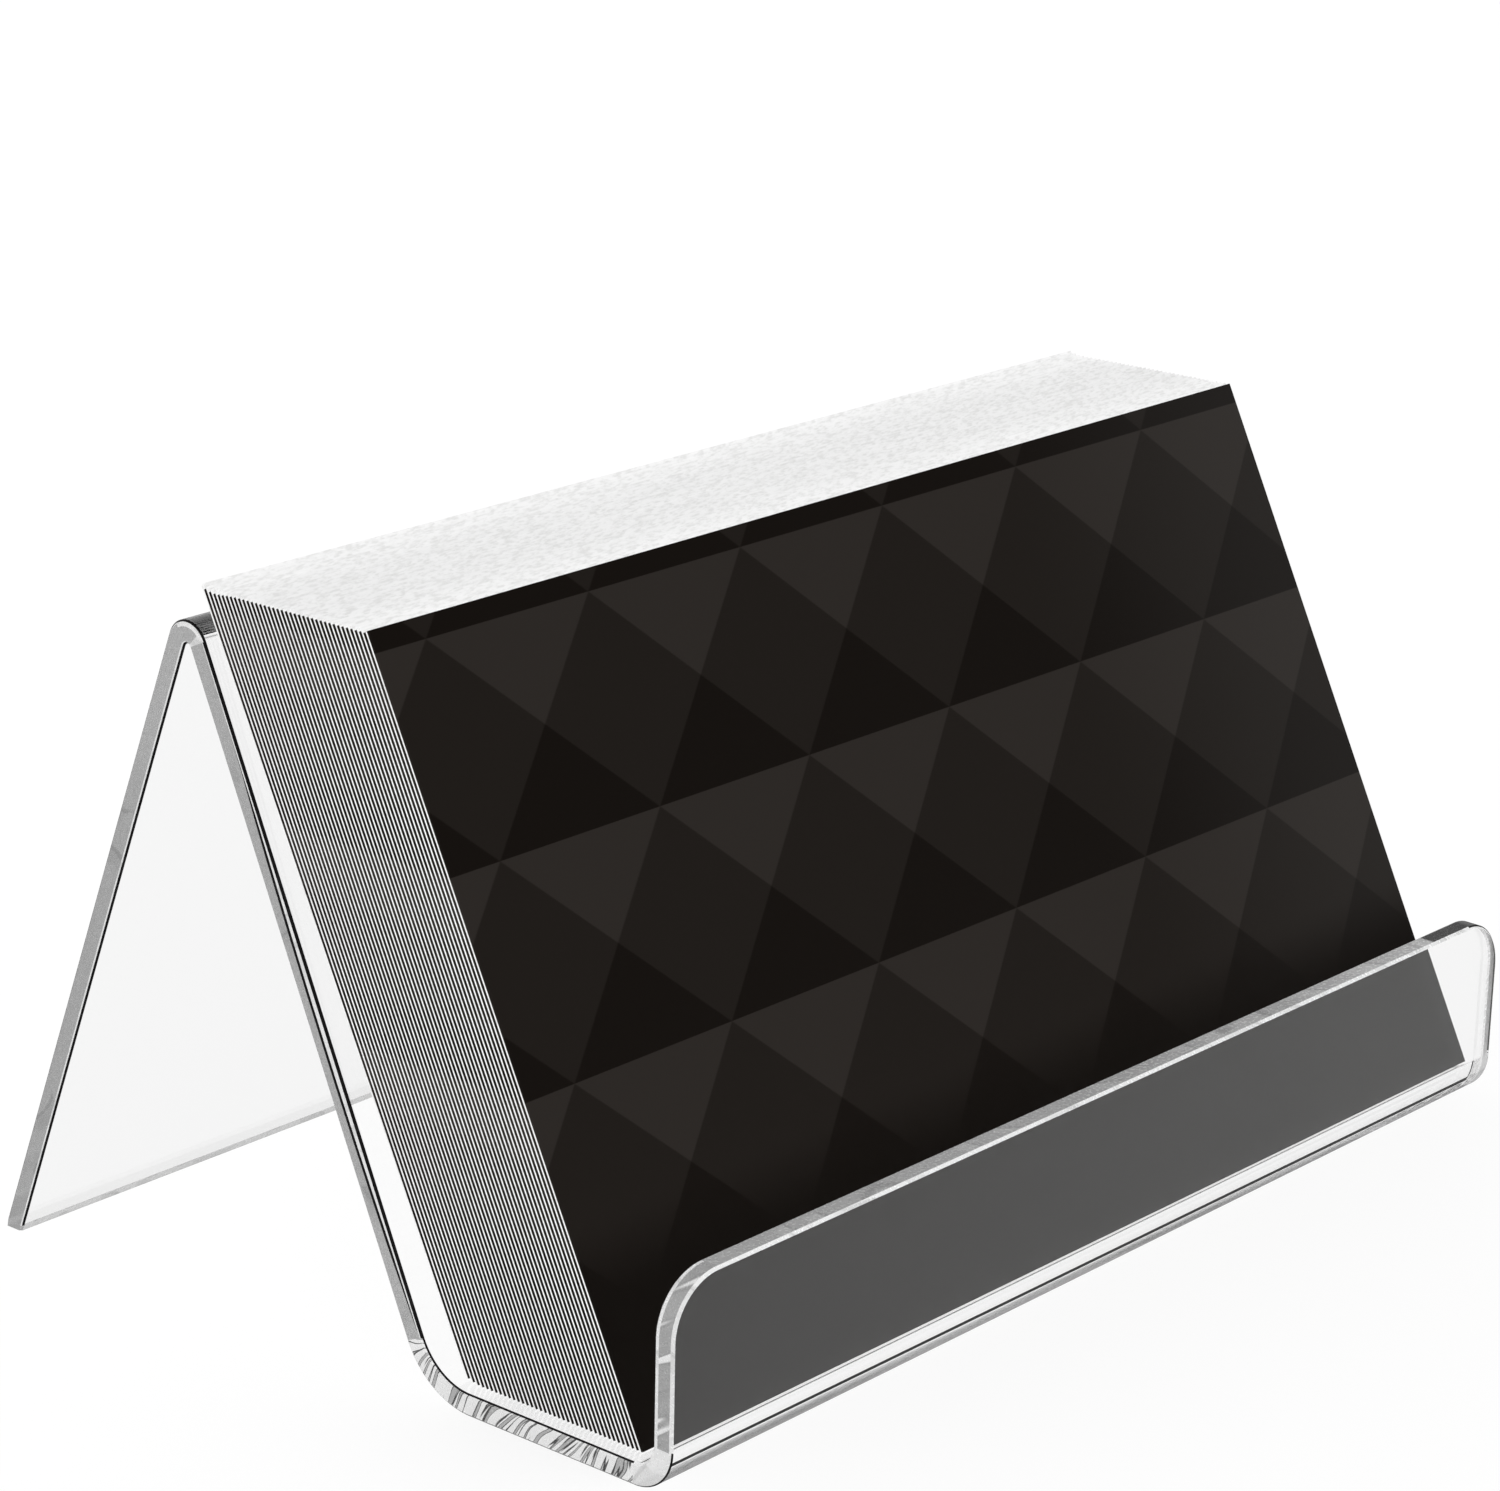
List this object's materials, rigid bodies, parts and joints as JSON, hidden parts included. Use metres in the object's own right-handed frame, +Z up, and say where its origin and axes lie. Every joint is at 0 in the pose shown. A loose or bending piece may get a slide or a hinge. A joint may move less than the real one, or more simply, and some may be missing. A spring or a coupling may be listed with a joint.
{
  "type": "business card holder stand",
  "caption": "Clear acrylic business card stand bent from one sheet, with a low front lip, a flat shelf, a leaning back plate and a rear leg, holding a stack of cards.",
  "frame": {"origin": "on the floor under the shelf, in the middle of the stand's width and of the pocket's depth", "axes": "+X along the cards to the right, +Y to the rear, +Z up"},
  "size_m": [0.0912, 0.0643, 0.0508],
  "materials": {
    "clear_acrylic": "clear, polished faces and edges",
    "printed_card": "black print with a tonal triangle pattern, satin",
    "card_stock": "white card, black print on the front face"
  },
  "bodies": {
    "stand": {"acrylic_stand": "clear_acrylic"},
    "card_01_body": {"card_01": "printed_card"},
    "card_02_body": {"card_02": "card_stock"},
    "card_03_body": {"card_03": "card_stock"},
    "card_04_body": {"card_04": "card_stock"},
    "card_05_body": {"card_05": "card_stock"},
    "card_06_body": {"card_06": "card_stock"},
    "card_07_body": {"card_07": "card_stock"},
    "card_08_body": {"card_08": "card_stock"},
    "card_09_body": {"card_09": "card_stock"},
    "card_10_body": {"card_10": "card_stock"},
    "card_11_body": {"card_11": "card_stock"},
    "card_12_body": {"card_12": "card_stock"},
    "card_13_body": {"card_13": "card_stock"},
    "card_14_body": {"card_14": "card_stock"},
    "card_15_body": {"card_15": "card_stock"},
    "card_16_body": {"card_16": "card_stock"},
    "card_17_body": {"card_17": "card_stock"},
    "card_18_body": {"card_18": "card_stock"},
    "card_19_body": {"card_19": "card_stock"},
    "card_20_body": {"card_20": "card_stock"},
    "card_21_body": {"card_21": "card_stock"},
    "card_22_body": {"card_22": "card_stock"},
    "card_23_body": {"card_23": "card_stock"},
    "card_24_body": {"card_24": "card_stock"},
    "card_25_body": {"card_25": "card_stock"},
    "card_26_body": {"card_26": "card_stock"},
    "card_27_body": {"card_27": "card_stock"},
    "card_28_body": {"card_28": "card_stock"},
    "card_29_body": {"card_29": "card_stock"},
    "card_30_body": {"card_30": "card_stock"},
    "card_31_body": {"card_31": "card_stock"},
    "card_32_body": {"card_32": "card_stock"},
    "card_33_body": {"card_33": "card_stock"},
    "card_34_body": {"card_34": "card_stock"},
    "card_35_body": {"card_35": "card_stock"},
    "card_36_body": {"card_36": "card_stock"},
    "card_37_body": {"card_37": "card_stock"},
    "card_38_body": {"card_38": "card_stock"},
    "card_39_body": {"card_39": "card_stock"}
  },
  "joints": [
    {"name": "card_01_lift", "type": "slide", "parent": "stand", "child": "card_01_body", "axis": [0, 0.4261, 0.9047], "range_m": [0, 0.055]},
    {"name": "card_02_lift", "type": "slide", "parent": "stand", "child": "card_02_body", "axis": [0, 0.4261, 0.9047], "range_m": [0, 0.055]},
    {"name": "card_03_lift", "type": "slide", "parent": "stand", "child": "card_03_body", "axis": [0, 0.4261, 0.9047], "range_m": [0, 0.055]},
    {"name": "card_04_lift", "type": "slide", "parent": "stand", "child": "card_04_body", "axis": [0, 0.4261, 0.9047], "range_m": [0, 0.055]},
    {"name": "card_05_lift", "type": "slide", "parent": "stand", "child": "card_05_body", "axis": [0, 0.4261, 0.9047], "range_m": [0, 0.055]},
    {"name": "card_06_lift", "type": "slide", "parent": "stand", "child": "card_06_body", "axis": [0, 0.4261, 0.9047], "range_m": [0, 0.055]},
    {"name": "card_07_lift", "type": "slide", "parent": "stand", "child": "card_07_body", "axis": [0, 0.4261, 0.9047], "range_m": [0, 0.055]},
    {"name": "card_08_lift", "type": "slide", "parent": "stand", "child": "card_08_body", "axis": [0, 0.4261, 0.9047], "range_m": [0, 0.055]},
    {"name": "card_09_lift", "type": "slide", "parent": "stand", "child": "card_09_body", "axis": [0, 0.4261, 0.9047], "range_m": [0, 0.055]},
    {"name": "card_10_lift", "type": "slide", "parent": "stand", "child": "card_10_body", "axis": [0, 0.4261, 0.9047], "range_m": [0, 0.055]},
    {"name": "card_11_lift", "type": "slide", "parent": "stand", "child": "card_11_body", "axis": [0, 0.4261, 0.9047], "range_m": [0, 0.055]},
    {"name": "card_12_lift", "type": "slide", "parent": "stand", "child": "card_12_body", "axis": [0, 0.4261, 0.9047], "range_m": [0, 0.055]},
    {"name": "card_13_lift", "type": "slide", "parent": "stand", "child": "card_13_body", "axis": [0, 0.4261, 0.9047], "range_m": [0, 0.055]},
    {"name": "card_14_lift", "type": "slide", "parent": "stand", "child": "card_14_body", "axis": [0, 0.4261, 0.9047], "range_m": [0, 0.055]},
    {"name": "card_15_lift", "type": "slide", "parent": "stand", "child": "card_15_body", "axis": [0, 0.4261, 0.9047], "range_m": [0, 0.055]},
    {"name": "card_16_lift", "type": "slide", "parent": "stand", "child": "card_16_body", "axis": [0, 0.4261, 0.9047], "range_m": [0, 0.055]},
    {"name": "card_17_lift", "type": "slide", "parent": "stand", "child": "card_17_body", "axis": [0, 0.4261, 0.9047], "range_m": [0, 0.055]},
    {"name": "card_18_lift", "type": "slide", "parent": "stand", "child": "card_18_body", "axis": [0, 0.4261, 0.9047], "range_m": [0, 0.055]},
    {"name": "card_19_lift", "type": "slide", "parent": "stand", "child": "card_19_body", "axis": [0, 0.4261, 0.9047], "range_m": [0, 0.055]},
    {"name": "card_20_lift", "type": "slide", "parent": "stand", "child": "card_20_body", "axis": [0, 0.4261, 0.9047], "range_m": [0, 0.055]},
    {"name": "card_21_lift", "type": "slide", "parent": "stand", "child": "card_21_body", "axis": [0, 0.4261, 0.9047], "range_m": [0, 0.055]},
    {"name": "card_22_lift", "type": "slide", "parent": "stand", "child": "card_22_body", "axis": [0, 0.4261, 0.9047], "range_m": [0, 0.055]},
    {"name": "card_23_lift", "type": "slide", "parent": "stand", "child": "card_23_body", "axis": [0, 0.4261, 0.9047], "range_m": [0, 0.055]},
    {"name": "card_24_lift", "type": "slide", "parent": "stand", "child": "card_24_body", "axis": [0, 0.4261, 0.9047], "range_m": [0, 0.055]},
    {"name": "card_25_lift", "type": "slide", "parent": "stand", "child": "card_25_body", "axis": [0, 0.4261, 0.9047], "range_m": [0, 0.055]},
    {"name": "card_26_lift", "type": "slide", "parent": "stand", "child": "card_26_body", "axis": [0, 0.4261, 0.9047], "range_m": [0, 0.055]},
    {"name": "card_27_lift", "type": "slide", "parent": "stand", "child": "card_27_body", "axis": [0, 0.4261, 0.9047], "range_m": [0, 0.055]},
    {"name": "card_28_lift", "type": "slide", "parent": "stand", "child": "card_28_body", "axis": [0, 0.4261, 0.9047], "range_m": [0, 0.055]},
    {"name": "card_29_lift", "type": "slide", "parent": "stand", "child": "card_29_body", "axis": [0, 0.4261, 0.9047], "range_m": [0, 0.055]},
    {"name": "card_30_lift", "type": "slide", "parent": "stand", "child": "card_30_body", "axis": [0, 0.4261, 0.9047], "range_m": [0, 0.055]},
    {"name": "card_31_lift", "type": "slide", "parent": "stand", "child": "card_31_body", "axis": [0, 0.4261, 0.9047], "range_m": [0, 0.055]},
    {"name": "card_32_lift", "type": "slide", "parent": "stand", "child": "card_32_body", "axis": [0, 0.4261, 0.9047], "range_m": [0, 0.055]},
    {"name": "card_33_lift", "type": "slide", "parent": "stand", "child": "card_33_body", "axis": [0, 0.4261, 0.9047], "range_m": [0, 0.055]},
    {"name": "card_34_lift", "type": "slide", "parent": "stand", "child": "card_34_body", "axis": [0, 0.4261, 0.9047], "range_m": [0, 0.055]},
    {"name": "card_35_lift", "type": "slide", "parent": "stand", "child": "card_35_body", "axis": [0, 0.4261, 0.9047], "range_m": [0, 0.055]},
    {"name": "card_36_lift", "type": "slide", "parent": "stand", "child": "card_36_body", "axis": [0, 0.4261, 0.9047], "range_m": [0, 0.055]},
    {"name": "card_37_lift", "type": "slide", "parent": "stand", "child": "card_37_body", "axis": [0, 0.4261, 0.9047], "range_m": [0, 0.055]},
    {"name": "card_38_lift", "type": "slide", "parent": "stand", "child": "card_38_body", "axis": [0, 0.4261, 0.9047], "range_m": [0, 0.055]},
    {"name": "card_39_lift", "type": "slide", "parent": "stand", "child": "card_39_body", "axis": [0, 0.4261, 0.9047], "range_m": [0, 0.055]}
  ]
}
